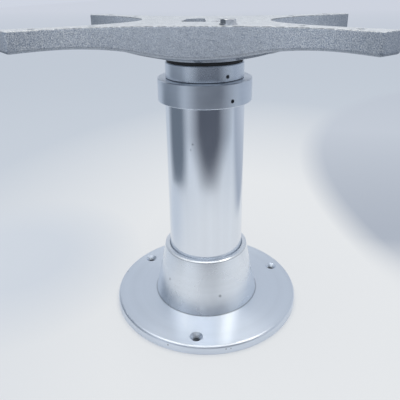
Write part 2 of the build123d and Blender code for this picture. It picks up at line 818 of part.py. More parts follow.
# Cap in the head of the inner tube, with the cable grommet
hub_screws_at = PolarLocations(
    hub_screw_radius,
    hub_screw_count,
    -hub_screw_span / 2,
    angular_range=hub_screw_span,
    endpoint=True,
)
with BuildPart() as tube_cap:
    with BuildSketch(Plane.XY.offset(cap_bottom)):
        Circle(inner_bore - slip)
        with Locations(grommet_place):
            Circle(grommet_radius, mode=Mode.SUBTRACT)
    extrude(amount=cap_thickness)
    with PolarLocations(inner_bore, tube_screw_count, first_tube_screw):
        with Locations(Location((0, 0, cap_screw_z), (0, 90, 0))):
            Hole(tube_screw_size / 2 + slip, tube_screw_length)
    with hub_screws_at:
        with Locations(Location((0, 0, inner_top))):
            Hole(hub_screw_size / 2 + slip)
tube_cap.part.label = "tube_cap"
export_step(tube_cap.part, "parts/tube_cap.step")

cap_screws = tube_screws(cap_screw_z, cap_thickness)
cap_screws.part.label = "cap_screws"
export_step(cap_screws.part, "parts/cap_screws.step")

with BuildPart() as cable_grommet:
    with BuildSketch(Plane.XY.offset(cap_bottom)):
        with Locations(grommet_place):
            Circle(grommet_radius - slip)
    extrude(amount=cap_thickness)
    with BuildSketch(Plane.XY.offset(inner_top)):
        with Locations(grommet_place):
            Circle(grommet_lip_radius)
    extrude(amount=grommet_lip_thickness)
    with Locations((*grommet_place, inner_top + grommet_lip_thickness)):
        Hole(grommet_bore_radius)
cable_grommet.part.label = "cable_grommet"
export_step(cable_grommet.part, "parts/cable_grommet.step")


def notch_points(half_width, depth, reach, power, steps=4):
    """Points of a hollow side, from one arm's corner across to the next.

    The side is a power curve: it leaves its middle flat and sweeps out ever
    faster, as the cast arms do.
    """
    points = []
    for step in range(-steps, steps + 1):
        share = step / steps
        points.append((share * half_width, depth + (reach - depth) * abs(share) ** power))
    return points


def star_outline(notches, side_corner, end_corner):
    """Closed plan of the spider, from its two notch depths and an arm's two corners."""
    front = notch_points(end_corner[0], notches[0], end_corner[1], notch_front_power)
    flank = notch_points(side_corner[1], notches[1], side_corner[0], notch_side_power)
    with BuildLine() as outline:
        Spline(*[(x, -y) for x, y in front])
        Line((end_corner[0], -end_corner[1]), (side_corner[0], -side_corner[1]))
        Spline(*[(y, x) for x, y in flank])
        Line(side_corner, end_corner)
        Spline(*reversed(front))
        Line((-end_corner[0], end_corner[1]), (-side_corner[0], side_corner[1]))
        Spline(*[(-y, x) for x, y in reversed(flank)])
        Line((-side_corner[0], -side_corner[1]), (-end_corner[0], -end_corner[1]))
    return outline.line


def inset_corner(corner, first, second, wall):
    """The corner moved inwards by one wall from both sides, given their outward normals."""
    turn = first.X * second.Y - first.Y * second.X
    step_x = (second.Y - first.Y) / turn
    step_y = (first.X - second.X) / turn
    return (corner[0] - wall * step_x, corner[1] - wall * step_y)


# Plan of the spider, with four hollow sides between the ends of its arms
side_corner = (arm_side_x, arm_side_y)
end_corner = (arm_end_x, arm_end_y)
with BuildSketch() as star:
    add(star_outline((notch_front, notch_side), side_corner, end_corner))
    make_face()
    fillet(star.vertices(), tip_radius)

# Plan of the hollows under the spider, between its wall, its hub, its ribs
# and the bosses for the table screws
front_slope = (arm_end_y - notch_front) * notch_front_power / arm_end_x
flank_slope = (arm_side_x - notch_side) * notch_side_power / arm_side_y
end_normal = Vector(arm_end_y - arm_side_y, arm_side_x - arm_end_x).normalized()
front_normal = Vector(-front_slope, 1).normalized()
flank_normal = Vector(1, -flank_slope).normalized()
table_holes = [
    (side * x, end * y)
    for x, y in (outer_table_screw, inner_table_screw)
    for side in (-1, 1)
    for end in (-1, 1)
]
arm_angle = math.degrees(math.atan2(outer_table_screw[1], outer_table_screw[0]))
with BuildSketch() as hollows:
    add(
        star_outline(
            (notch_front - spider_wall, notch_side - spider_wall),
            inset_corner(side_corner, flank_normal, end_normal, spider_wall),
            inset_corner(end_corner, front_normal, end_normal, spider_wall),
        )
    )
    make_face()
    Circle(hub_wall_radius, mode=Mode.SUBTRACT)
    for angle in (0, 90, arm_angle, -arm_angle):
        Rectangle(2 * inner_table_screw[0], spider_rib, rotation=angle, mode=Mode.SUBTRACT)
    with Locations(*table_holes):
        Circle(table_boss_radius, mode=Mode.SUBTRACT)

# Spider, cast in one piece: a flat top, hollow sides and a belled underside
bell_depth = spider_depth - arm_thickness
bell_under = [
    (hub_radius, spider_depth),
    *((hub_radius + step, arm_thickness + share * bell_depth) for step, share in bell_curve),
    (spider_reach, arm_thickness),
]
with BuildPart() as spider:
    with BuildSketch(Plane.XY.offset(hub_bottom)):
        add(star.sketch)
    extrude(amount=spider_depth)
    with BuildSketch(Plane.XZ):
        with BuildLine():
            Line((0, spider_top), (0, hub_bottom))
            Line((0, hub_bottom), (hub_radius, hub_bottom))
            Spline(*[(radius, spider_top - depth) for radius, depth in bell_under])
            Line((spider_reach, spider_top - arm_thickness), (spider_reach, spider_top))
            Line((spider_reach, spider_top), (0, spider_top))
        make_face()
    revolve(axis=Axis.Z, mode=Mode.INTERSECT)
    underside = spider.faces().filter_by(GeomType.PLANE, reverse=True).sort_by(SortBy.AREA)[-1]
    rim = underside.edges().filter_by(lambda edge: abs(edge.center().Y) > 1.0)
    fillet(rim, spider_lower_radius)
    fillet(spider.edges().group_by(Axis.Z)[-1], spider_top_radius)
    with BuildSketch(Plane.XY.offset(hub_bottom)):
        add(hollows.sketch)
    extrude(amount=spider_depth - spider_plate, mode=Mode.SUBTRACT)
    with Locations((0, 0, hub_bottom)):
        Cylinder(inner_radius + slip, spider_depth - hub_floor, align=up, mode=Mode.SUBTRACT)
    with BuildSketch(Plane.XY.offset(inner_top)) as window:
        Circle(inner_bore)
        Polygon(
            (window_left, -window_front),
            (window_right, -window_front),
            (window_right - window_slant, window_back),
            (window_left, window_back),
            align=None,
            mode=Mode.INTERSECT,
        )
        fillet(window.vertices(), window_corner)
    extrude(amount=hub_floor, mode=Mode.SUBTRACT)
    with Locations((0, 0, spider_top)):
        with Locations(*table_holes):
            Hole(table_screw_diameter / 2)
        with Locations(bolt_place):
            Hole(bolt_diameter / 2 + slip, spider_plate)
    with hub_screws_at:
        with Locations((0, 0, spider_top)):
            CounterSinkHole(hub_screw_size / 2 + slip, hub_screw_size + slip, hub_floor)
spider.part.label = "spider"
export_step(spider.part, "parts/spider.step")

with BuildPart() as hub_screws:
    with hub_screws_at:
        with Locations((0, 0, spider_top)):
            add(countersunk_screw(hub_screw_size, hub_screw_length))
hub_screws.part.label = "hub_screws"
export_step(hub_screws.part, "parts/hub_screws.step")

# Hexagon bolt through the top of the spider, with its washer and nut
washer_top = spider_top + washer_thickness
nut_top = spider_top - spider_plate
bolt_bottom = nut_top - nut_height - bolt_tail_length
with BuildPart() as top_washer:
    with BuildSketch(Plane.XY.offset(spider_top)):
        with Locations(bolt_place):
            Circle(washer_diameter / 2)
            Circle(bolt_diameter / 2 + slip, mode=Mode.SUBTRACT)
    extrude(amount=washer_thickness)
top_washer.part.label = "top_washer"
export_step(top_washer.part, "parts/top_washer.step")

with BuildPart() as top_bolt:
    with BuildSketch(Plane.XY.offset(bolt_bottom)):
        with Locations(bolt_place):
            Circle(bolt_diameter / 2)
    extrude(amount=washer_top - bolt_bottom)
    chamfer(top_bolt.edges().group_by(Axis.Z)[0], bolt_tail_chamfer)
    with Locations(Location((*bolt_place, washer_top), (0, 0, bolt_turn))):
        add(hexagon(bolt_head_across_flats, bolt_head_height))
top_bolt.part.label = "top_bolt"
export_step(top_bolt.part, "parts/top_bolt.step")

with BuildPart() as top_nut:
    with Locations(Location((*bolt_place, nut_top), (180, 0, 0))):
        add(hexagon(bolt_head_across_flats, nut_height))
        Hole(bolt_diameter / 2 + slip, nut_height)
top_nut.part.label = "top_nut"
export_step(top_nut.part, "parts/top_nut.step")
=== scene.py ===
import math

import bpy
from mathutils import Matrix, Vector

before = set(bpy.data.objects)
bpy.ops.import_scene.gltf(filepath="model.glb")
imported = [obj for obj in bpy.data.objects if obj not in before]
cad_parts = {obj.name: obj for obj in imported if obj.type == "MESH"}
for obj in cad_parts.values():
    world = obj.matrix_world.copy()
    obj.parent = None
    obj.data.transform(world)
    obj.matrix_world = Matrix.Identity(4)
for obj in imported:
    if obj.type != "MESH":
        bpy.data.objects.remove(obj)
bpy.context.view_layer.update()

# Floor plate: a round aluminium plate, faced and turned on a lathe, with a
# rounded rim and three countersunk holes for the floor screws. Its turning
# marks run in circles, and its rim has small knocks from handling.


def linear(red, green, blue):
    """Colour for a shader from a colour as it is seen, each part from 0 to 255."""
    return tuple(((part / 255 + 0.055) / 1.055) ** 2.4 for part in (red, green, blue)) + (1.0,)


def fill(tree, node, sockets):
    """Sets or links a node's sockets, by name or number."""
    for name, value in sockets.items():
        if isinstance(value, bpy.types.NodeSocket):
            tree.links.new(value, node.inputs[name])
        else:
            node.inputs[name].default_value = value


def put(tree, kind, sockets=None, **settings):
    """One shader node, its settings by name and its sockets by name or number."""
    made = tree.nodes.new("ShaderNode" + kind)
    for name, value in settings.items():
        setattr(made, name, value)
    fill(tree, made, sockets or {})
    return made


def figure(tree, operation, *values):
    """Result of one Math node."""
    return put(tree, "Math", dict(enumerate(values)), operation=operation).outputs[0]


def times(tree, product, *factors):
    """Values multiplied one after the other."""
    for factor in factors:
        product = figure(tree, "MULTIPLY", product, factor)
    return product


def spread(tree, value, low, high, to_low=0.0, to_high=1.0):
    """Value carried from one range to another, and kept inside it."""
    return put(tree, "MapRange", {0: value, 1: low, 2: high, 3: to_low, 4: to_high}).outputs[0]


def vector_of(tree, operation, *values):
    """Vector that one Vector Math node gives."""
    return put(tree, "VectorMath", dict(enumerate(values)), operation=operation).outputs[0]


def measure_of(tree, operation, *values):
    """Number that one Vector Math node gives, such as a length or a distance."""
    return put(tree, "VectorMath", dict(enumerate(values)), operation=operation).outputs[1]


def scaled(tree, vector, factor):
    """Vector times a number."""
    return put(tree, "VectorMath", {0: vector, 3: factor}, operation="SCALE").outputs[0]


def parts_of(tree, vector):
    """A vector's x, y and z."""
    return tuple(put(tree, "SeparateXYZ", {0: vector}).outputs)


def out_from_axis(tree, place):
    """Distance from the pedestal's upright axis."""
    return measure_of(tree, "LENGTH", vector_of(tree, "MULTIPLY", place, (1, 1, 0)))


def noise(tree, place, scale, detail, **sockets):
    """Cloudy value from 0 to 1, by its fineness and its levels of detail."""
    sockets = {"Vector": place, "Scale": scale, "Detail": detail, **sockets}
    return put(tree, "TexNoise", sockets).outputs[0]


def shared_effect(name, inputs, outputs):
    """Empty shader node group and the sockets that bring its inputs in."""
    tree = bpy.data.node_groups.new(name, "ShaderNodeTree")
    for label, kind, value in inputs:
        socket = tree.interface.new_socket(label, in_out="INPUT", socket_type="NodeSocket" + kind)
        socket.default_value = value
    for label in outputs:
        tree.interface.new_socket(label, in_out="OUTPUT", socket_type="NodeSocketFloat")
    return tree, tree.nodes.new("NodeGroupInput").outputs


def give_out(tree, **values):
    """Links the group's results to its outputs."""
    fill(tree, tree.nodes.new("NodeGroupOutput"), values)


def use(tree, effect, **values):
    """A shared effect placed in a material, with the material's own values."""
    return put(tree, "Group", values, node_tree=effect).outputs


turning_marks, take = shared_effect(
    "turning marks",
    [("Position", "Vector", (0, 0, 0)), ("Pitch", "Float", 0.0004), ("Drift", "Float", 20.0)],
    ["Lines", "Bands"],
)
out = out_from_axis(turning_marks, take["Position"])
sideways, _, upwards = parts_of(turning_marks, take["Position"])
lathe_place = put(
    turning_marks,
    "CombineXYZ",
    {
        0: figure(turning_marks, "DIVIDE", out, take["Pitch"]),
        1: figure(turning_marks, "DIVIDE", upwards, take["Pitch"]),
        2: times(turning_marks, sideways, take["Drift"]),
    },
).outputs[0]
give_out(
    turning_marks,
    Lines=noise(turning_marks, lathe_place, 1.0, 2.0),
    Bands=noise(turning_marks, lathe_place, 0.06, 1.0),
)

# Share of a piece's edges: wear, and where a lighter colour is laid on it, a painted highlight
# along the edges.
edge_wear_and_highlight, take = shared_effect(
    "edge wear and highlight",
    [("Position", "Vector", (0, 0, 0)), ("Width", "Float", 0.0006), ("Patches", "Float", 90.0)],
    ["Edge"],
)
rounded = put(edge_wear_and_highlight, "Bevel", {"Radius": take["Width"]}, samples=4).outputs[0]
facing = put(edge_wear_and_highlight, "NewGeometry").outputs["Normal"]
flatness = measure_of(edge_wear_and_highlight, "DOT_PRODUCT", rounded, facing)
bend = spread(edge_wear_and_highlight, figure(edge_wear_and_highlight, "SUBTRACT", 1.0, flatness), 0.02, 0.25)
patches = noise(edge_wear_and_highlight, take["Position"], take["Patches"], 3.0)
give_out(edge_wear_and_highlight, Edge=times(edge_wear_and_highlight, bend, spread(edge_wear_and_highlight, patches, 0.3, 0.6, 0.35, 1.0)))

handling, take = shared_effect(
    "handling",
    [
        ("Position", "Vector", (0, 0, 0)),
        ("Smudge size", "Float", 0.05),
        ("Scratch size", "Float", 0.01),
    ],
    ["Smudges", "Scratches"],
)
smudge_place = scaled(
    handling, take["Position"], figure(handling, "DIVIDE", 1.0, take["Smudge size"])
)
hairs_per_size = 6.0
scratch_masks = []
for lean in ((0.5, 0.2, 0.9), (-0.4, 0.9, -0.7)):
    drawn_out = put(
        handling,
        "Mapping",
        {"Vector": take["Position"], "Rotation": lean, "Scale": (1.0, 0.04, 1.0)},
    ).outputs[0]
    fineness = figure(handling, "DIVIDE", hairs_per_size, take["Scratch size"])
    hairs = noise(handling, scaled(handling, drawn_out, fineness), 1.0, 1.0)
    scratch_masks.append(spread(handling, hairs, 0.70, 0.76))
give_out(
    handling,
    Smudges=noise(handling, smudge_place, 1.0, 3.0, Distortion=0.6),
    Scratches=figure(handling, "MAXIMUM", *scratch_masks),
)

# Dark spot with a ragged edge round a place: used for dents and specks, and as painted shade
# inside holes.
dark_spot, take = shared_effect(
    "dark_spot",
    [("Position", "Vector", (0, 0, 0)), ("Place", "Vector", (0, 0, 0)), ("Reach", "Float", 0.001)],
    ["Mark"],
)
ragged = put(dark_spot, "TexNoise", {"Vector": take["Position"], "Scale": 1400.0, "Detail": 1.0})
pull = vector_of(dark_spot, "SUBTRACT", ragged.outputs["Color"], (0.5, 0.5, 0.5))
pull = scaled(dark_spot, pull, times(dark_spot, take["Reach"], 1.2))
away = measure_of(
    dark_spot, "DISTANCE", vector_of(dark_spot, "ADD", pull, take["Position"]), take["Place"]
)
away = figure(dark_spot, "DIVIDE", away, take["Reach"])
give_out(dark_spot, Mark=spread(dark_spot, away, 0.45, 1.0, 1.0, 0.0))


def new_material(name):
    """Empty material with its shader, its output and the piece's own coordinates."""
    material = bpy.data.materials.new(name)
    material.use_nodes = True
    tree = material.node_tree
    shader = tree.nodes["Principled BSDF"]
    return material, tree, shader, put(tree, "TexCoord").outputs["Object"]


def layered(tree, base, *layers):
    """Colour with others laid over it, each by a share that changes over the surface."""
    for share, colour in layers:
        mixed = put(tree, "Mix", {0: share, 6: base, 7: colour}, data_type="RGBA")
        base = mixed.outputs[2]
    return base


def drifting_tone(tree, share, colour, drift=0.015):
    """Colour that drifts a little darker and lighter over the surface."""
    darker, lighter = (
        tuple(min(factor * part, 1.0) for part in colour[:3]) + (1.0,)
        for factor in (1 - drift, 1 + drift)
    )
    return layered(tree, darker, (spread(tree, share, 0.35, 0.65), lighter))


def smudged(tree, touched, smooth, dull):
    """Roughness between two values, by the smudges."""
    return spread(tree, touched["Smudges"], 0.3, 0.7, smooth, dull)


def grime_line(tree, place, radius, level):
    """Share of grime in a thin line round the axis, by its radius and its height."""
    inner, outer, darkest = 0.0002, 0.0008, 0.42
    beside = figure(tree, "SUBTRACT", out_from_axis(tree, place), radius)
    above = figure(tree, "SUBTRACT", parts_of(tree, place)[2], level)
    off = figure(
        tree, "MAXIMUM", figure(tree, "ABSOLUTE", beside), figure(tree, "ABSOLUTE", above)
    )
    return spread(tree, off, inner, outer, darkest, 0.0)


def finish_surface(tree, shader, height, strength, distance, sockets):
    """Fills the shader's sockets, and lays on a bump of this strength and depth."""
    bump = put(tree, "Bump", {"Strength": strength, "Distance": distance, "Height": height})
    fill(tree, shader, {"Normal": bump.outputs[0], **sockets})


def lathe_finish(name, colour, roughness, pitch, streak, dents_and_hole_shades=(), seams=()):
    """Satin turned metal: fine circles, stretched highlights, worn edges with a painted highlight,
    soft smudges.

    The pitch is the width of a turned circle, and the streak is how far a highlight
    is drawn out. A dark spot, used both for dents and for painted shade in holes,
    has its place, its reach and how dark it is. A seam is a thin line of grime
    round the axis, by its radius and height.
    """
    material, tree, shader, place = new_material(name)
    circles = use(tree, turning_marks, Position=place, Pitch=pitch)
    edge = use(tree, edge_wear_and_highlight, Position=place)["Edge"]
    touched = use(tree, handling, Position=place)
    height = times(tree, circles["Lines"], 0.5)
    # Edges lighter: wear, and a painted highlight.
    layers = [(times(tree, edge, 0.6), linear(236, 240, 244))]
    # Dents, and painted shade in holes: dark spots pressed a little into the surface.
    for spot, reach, darkness in dents_and_hole_shades:
        mark = use(tree, dark_spot, Position=place, Place=spot, Reach=reach)["Mark"]
        layers.append((times(tree, mark, darkness), linear(78, 84, 92)))
        height = figure(tree, "SUBTRACT", height, times(tree, mark, 3.0))
    for radius, level in seams:
        layers.append((grime_line(tree, place, radius, level), linear(96, 104, 112)))
    scratched = times(tree, touched["Scratches"], 0.06)
    sockets = {
        "Base Color": layered(tree, drifting_tone(tree, circles["Bands"], colour), *layers),
        "Roughness": figure(
            tree, "ADD", smudged(tree, touched, roughness - 0.04, roughness + 0.05), scratched
        ),
        "Metallic": 1.0,
        "Anisotropic": streak,
        "Anisotropic Rotation": 0.25,
        "Tangent": put(tree, "Tangent", direction_type="RADIAL", axis="Z").outputs[0],
    }
    finish_surface(tree, shader, height, 0.05, 0.0002, sockets)
    return material


def finish_nodes(material, *names):
    """Gives the material to these CAD nodes."""
    for name in names:
        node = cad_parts[name]
        if not node.data.materials:
            node.data.materials.append(material)
        for slot in node.material_slots:
            slot.material = material


# Darkness of the rim's dents and of the painted shade in the holes.
dent_and_hole_shade_dark = 0.85
screw_circle, screw_depth, countersink = 0.099, 0.0035, 0.0078
rim_knocks = [
    ((-0.1115, 0.0144, 0.0102), 0.0012, dent_and_hole_shade_dark),
    ((-0.0304, -0.111, 0.0062), 0.0012, dent_and_hole_shade_dark),
    ((0.0346, -0.1096, 0.0062), 0.0011, dent_and_hole_shade_dark),
    ((0.040, -0.108, 0.0062), 0.0009, dent_and_hole_shade_dark),
]
# Painted shade: a dark spot inside each countersunk hole, where the recess is in shade.
screw_hole_shades = []
for turn in (0.0, math.tau / 3, -math.tau / 3):
    spot = (screw_circle * math.sin(turn), -screw_circle * math.cos(turn), screw_depth)
    screw_hole_shades.append((spot, countersink, dent_and_hole_shade_dark))
plate_finish = lathe_finish(
    "satin floor plate",
    linear(225, 233, 244),
    roughness=0.32,
    pitch=0.0005,
    streak=0.82,
    dents_and_hole_shades=rim_knocks + screw_hole_shades,
    seams=[(0.0655, 0.0104)],
)
finish_nodes(plate_finish, "base_plate")

# Tapered foot: an aluminium cone, turned all over with a bright chamfer round
# its mouth. It stands on the plate with a thin seam and is screwed from below.
# Grime lies in that seam and on both sides of the mouth.
foot_seam, mouth_inside, mouth_outside = (0.0648, 0.0106), (0.0456, 0.0764), (0.0513, 0.0752)
cone_finish = lathe_finish(
    "satin tapered foot",
    linear(236, 241, 247),
    roughness=0.26,
    pitch=0.0005,
    streak=0.5,
    dents_and_hole_shades=[((0.0231, -0.0554, 0.0341), 0.0023, 0.5), ((-0.0399, -0.0421, 0.0437), 0.0021, 0.45)],
    seams=[foot_seam, mouth_inside, mouth_outside],
)
finish_nodes(cone_finish, "base_cone")

# Screws under the plate and inside the foot, the bearing, and the fixed and
# turning screws that lift the tubes: plain steel, ground or turned.
steel_finish = lathe_finish(
    "ground steel", linear(196, 198, 202), roughness=0.3, pitch=0.0003, streak=0.3
)
finish_nodes(
    steel_finish,
    "cone_screws",
    "foot_ring_screws",
    "standing_screw",
    "standing_screw_bolts",
    "foot_plate_screws",
    "lower_race",
    "upper_race",
    "bearing_balls",
    "circlip",
    "lift_screw",
    "drive_cap",
    "drive_shaft",
    "output_spindle",
    "carrier_screws",
    "nut_screws",
    "mount_screws",
    "gearbox_screws",
    "cap_screws",
)

# Set screws of the collar and the ring: small grub screws, black from the
# hardening oil, sunk a little into their holes.
black_steel = lathe_finish(
    "black oxide steel", linear(58, 61, 66), roughness=0.4, pitch=0.0003, streak=0.2
)
finish_nodes(black_steel, "collar_screws", "ring_screws")

# Rings and plates inside the tubes, which hold the screws and the motor:
# aluminium, turned and left plain.
turned_finish = lathe_finish(
    "turned aluminium", linear(214, 216, 220), roughness=0.3, pitch=0.0006, streak=0.5
)
finish_nodes(turned_finish, "foot_ring", "foot_plate", "nut_carrier", "motor_mount", "tube_cap")

# Outer tube: drawn aluminium, polished along its length and anodised clear, so
# that it mirrors the room with very fine upright lines and a few specks.
drawn_lines, take = shared_effect(
    "drawn lines",
    [("Position", "Vector", (0, 0, 0)), ("Width", "Float", 0.0008)],
    ["Lines"],
)
drawn_place = vector_of(drawn_lines, "MULTIPLY", take["Position"], (1.0, 1.0, 0.01))
drawn_place = scaled(drawn_lines, drawn_place, figure(drawn_lines, "DIVIDE", 1.0, take["Width"]))
give_out(drawn_lines, Lines=noise(drawn_lines, drawn_place, 1.0, 2.0))


def drawn_finish(name, colour, roughness, relief, specks=()):
    """Drawn and anodised tube: upright lines, soft smudges, and worn ends lightened as a painted
    highlight.
    """
    material, tree, shader, place = new_material(name)
    fine_lines = use(tree, drawn_lines, Position=place)["Lines"]
    wide_lines = use(tree, drawn_lines, Position=place, Width=0.009)["Lines"]
    edge = use(tree, edge_wear_and_highlight, Position=place)["Edge"]
    touched = use(tree, handling, Position=place)
    # Ends lighter: wear, and a painted highlight.
    layers = [(times(tree, edge, 0.5), linear(240, 243, 246))]
    for spot, reach in specks:
        mark = use(tree, dark_spot, Position=place, Place=spot, Reach=reach)["Mark"]
        layers.append((times(tree, mark, 0.9), linear(70, 76, 84)))
    scratched = times(tree, touched["Scratches"], 0.05)
    sockets = {
        "Base Color": layered(tree, drifting_tone(tree, wide_lines, colour), *layers),
        "Roughness": figure(
            tree, "ADD", smudged(tree, touched, roughness - 0.02, roughness + 0.03), scratched
        ),
        "Metallic": 1.0,
    }
    height = figure(tree, "ADD", times(tree, fine_lines, 0.25), wide_lines)
    finish_surface(tree, shader, height, relief, 0.0005, sockets)
    return material


tube_finish = drawn_finish(
    "polished tube",
    linear(232, 237, 244),
    roughness=0.145,
    relief=0.06,
    specks=[((-0.0084, -0.0442, 0.2207), 0.0011), ((-0.0109, -0.0437, 0.2141), 0.0008)],
)
finish_nodes(tube_finish, "outer_tube")

# Middle and inner tubes: drawn aluminium too, with a duller satin coat that
# runs against the plastic bushes.
inner_tube_finish = drawn_finish(
    "satin sliding tube", linear(206, 210, 216), roughness=0.28, relief=0.08
)
finish_nodes(inner_tube_finish, "middle_tube", "inner_tube")

# Collar on the outer tube: a turned aluminium ring with chamfered edges, held
# by set screws that lie deep in their holes.
set_screw_reach = 0.0026
collar_finish = lathe_finish(
    "satin collar",
    linear(213, 221, 231),
    roughness=0.3,
    # Painted shade: a dark spot in the set screw's hole.
    dents_and_hole_shades=[((0.0337, -0.0406, 0.268), set_screw_reach, dent_and_hole_shade_dark)],
    pitch=0.0004,
    streak=0.65,
)
finish_nodes(collar_finish, "collar")

# Ring on the middle tube: turned aluminium like the collar, a little smoother,
# with set screws of its own.
ring_finish = lathe_finish(
    "satin ring",
    linear(206, 214, 224),
    roughness=0.26,
    # Painted shade: a dark spot in the set screw's hole.
    dents_and_hole_shades=[((0.0276, -0.0333, 0.292), set_screw_reach, dent_and_hole_shade_dark)],
    pitch=0.0004,
    streak=0.7,
)
finish_nodes(ring_finish, "upper_ring")

# Bushes and glide rings that guide the tubes: white low-friction plastic,
# moulded and bored, with a dull skin.
white_plastic, tree, shader, place = new_material("white bush plastic")
touched = use(tree, handling, Position=place)
edge = use(tree, edge_wear_and_highlight, Position=place)["Edge"]
sockets = {
    "Base Color": layered(
        tree,
        linear(233, 232, 226),
        (spread(tree, touched["Smudges"], 0.3, 0.7), linear(240, 240, 236)),
        # Edges lighter: wear, and a painted highlight.
        (times(tree, edge, 0.5), linear(248, 248, 246)),
    ),
    "Roughness": smudged(tree, touched, 0.4, 0.55),
}
finish_surface(tree, shader, noise(tree, place, 900.0, 3.0), 0.15, 0.0001, sockets)
finish_nodes(white_plastic, "collar_bush", "middle_glide", "ring_bush", "inner_glide")

# Rubber buffer between the ring and the hub, and the grommet round the cable's
# way out: black moulded rubber with a dusty bloom.
black_rubber, tree, shader, place = new_material("black rubber")
bloom = noise(tree, place, 60.0, 5.0)
sockets = {
    "Base Color": layered(
        tree, linear(22, 23, 25), (spread(tree, bloom, 0.35, 0.7), linear(46, 48, 51))
    ),
    "Roughness": spread(tree, bloom, 0.3, 0.7, 0.55, 0.8),
}
finish_surface(tree, shader, noise(tree, place, 1500.0, 2.0), 0.25, 0.0001, sockets)
finish_nodes(black_rubber, "buffer_ring", "cable_grommet")

# Nuts that run on the screws and the cage of the thrust bearing: bronze,
# turned, with smudges of grease that dull it in patches.
bronze_finish = lathe_finish(
    "bronze", linear(206, 160, 98), roughness=0.28, pitch=0.0004, streak=0.4
)
finish_nodes(bronze_finish, "lower_nut", "lift_nut", "bearing_cage")

# Motor: a drawn steel can with a semi-gloss black coat, worn at its edges, held
# by its mount in the head of the inner tube.
black_paint, tree, shader, place = new_material("black coat")
edge = use(tree, edge_wear_and_highlight, Position=place, Width=0.0009)["Edge"]
touched = use(tree, handling, Position=place)
sockets = {
    "Base Color": layered(
        tree,
        linear(30, 31, 33),
        (spread(tree, touched["Smudges"], 0.3, 0.7), linear(42, 43, 45)),
        (times(tree, edge, 0.55), linear(128, 130, 134)),
    ),
    "Metallic": times(tree, edge, 0.7),
    "Roughness": smudged(tree, touched, 0.3, 0.42),
    "Coat Weight": 0.3,
    "Coat Roughness": 0.15,
}
finish_surface(tree, shader, noise(tree, place, 420.0, 2.0), 0.12, 0.0002, sockets)
finish_nodes(black_paint, "motor")

# Spider that carries the table: one aluminium sand casting, machined nowhere
# but in its bore. The sand leaves a grain of about a millimetre that sparkles.
# Its top faces are lightened with a painted highlight. The arms' tips, their
# sloped top edges and the underside are darkened with painted shade, and the
# side faces grow darker towards the back.
cast_finish, tree, shader, place = new_material("sand cast aluminium")
sand = noise(tree, place, 1300.0, 1.0, Roughness=0.5)
coarse = noise(tree, place, 260.0, 4.0, Roughness=0.6)
cloud = noise(tree, place, 22.0, 3.0)
stain = noise(tree, place, 170.0, 4.0, Roughness=0.65)
edge = use(tree, edge_wear_and_highlight, Position=place, Width=0.0012, Patches=160.0)["Edge"]
sideways, backwards, _ = parts_of(tree, place)
across = figure(tree, "ABSOLUTE", sideways)
upward = parts_of(tree, put(tree, "NewGeometry").outputs["Normal"])[2]
# Upward faces: a painted highlight is laid on them, and the stains lie there too.
top_side = spread(tree, upward, 0.9, 0.98)
# Painted shade on the faces that point down.
underside_shade = spread(tree, upward, -0.05, -0.4, 0.0, 0.42)

rough_skin = spread(tree, across, 0.03, 0.11, 0.45, 1.05)
speckle = times(tree, figure(tree, "SUBTRACT", sand, 0.5), rough_skin)
pitted = spread(tree, upward, 0.7, 0.95, 0.18, 0.28)
# Painted shade at the arms' tips, and a darkening towards the back, on faces that do not face up.
tip_shade = spread(tree, across, 0.115, 0.164, 0.0, 0.38)
back_darkening = spread(tree, backwards, 0.0, 0.06, 0.0, 0.13)
side_darkening = times(
    tree, figure(tree, "ADD", tip_shade, back_darkening), spread(tree, upward, 0.8, 0.5)
)
# Painted shade on the sloped faces along the top edges, patchy, and strongest near the middle.
top_edge_shade = times(
    tree,
    spread(tree, upward, 0.2, 0.5),
    spread(tree, upward, 0.97, 0.88),
    spread(tree, coarse, 0.35, 0.6, 0.4, 1.0),
    spread(tree, across, 0.1, 0.15, 0.9, 0.3),
)
sockets = {
    "Base Color": layered(
        tree,
        linear(162, 173, 190),
        (spread(tree, speckle, -0.17, 0.17), linear(250, 253, 255)),
        (times(tree, spread(tree, coarse, 0.42, 0.7), pitted), linear(132, 138, 146)),
        (spread(tree, cloud, 0.4, 0.65, 0.0, 0.06), linear(172, 178, 186)),
        # Painted highlight: the top faces lightened, where the light falls on them.
        (times(tree, top_side, 0.35), linear(251, 253, 255)),
        (times(tree, spread(tree, stain, 0.42, 0.68), top_side, 0.4), linear(158, 166, 174)),
        # Painted shade at the tips, and darker towards the back.
        (side_darkening, linear(96, 106, 120)),
        # Edges lighter: wear, and a painted highlight.
        (times(tree, edge, 0.4), linear(232, 236, 240)),
        # Painted shade on the sloped top edges.
        (top_edge_shade, linear(92, 99, 108)),
        # Painted shade on the underside.
        (underside_shade, linear(112, 122, 136)),
    ),
    "Roughness": spread(tree, sand, 0.3, 0.7, 0.36, 0.56),
    "Metallic": 1.0,
}
skin = figure(tree, "ADD", speckle, times(tree, coarse, pitted, 4.0))
finish_surface(tree, shader, skin, 0.6, 0.0007, sockets)
finish_nodes(cast_finish, "spider")

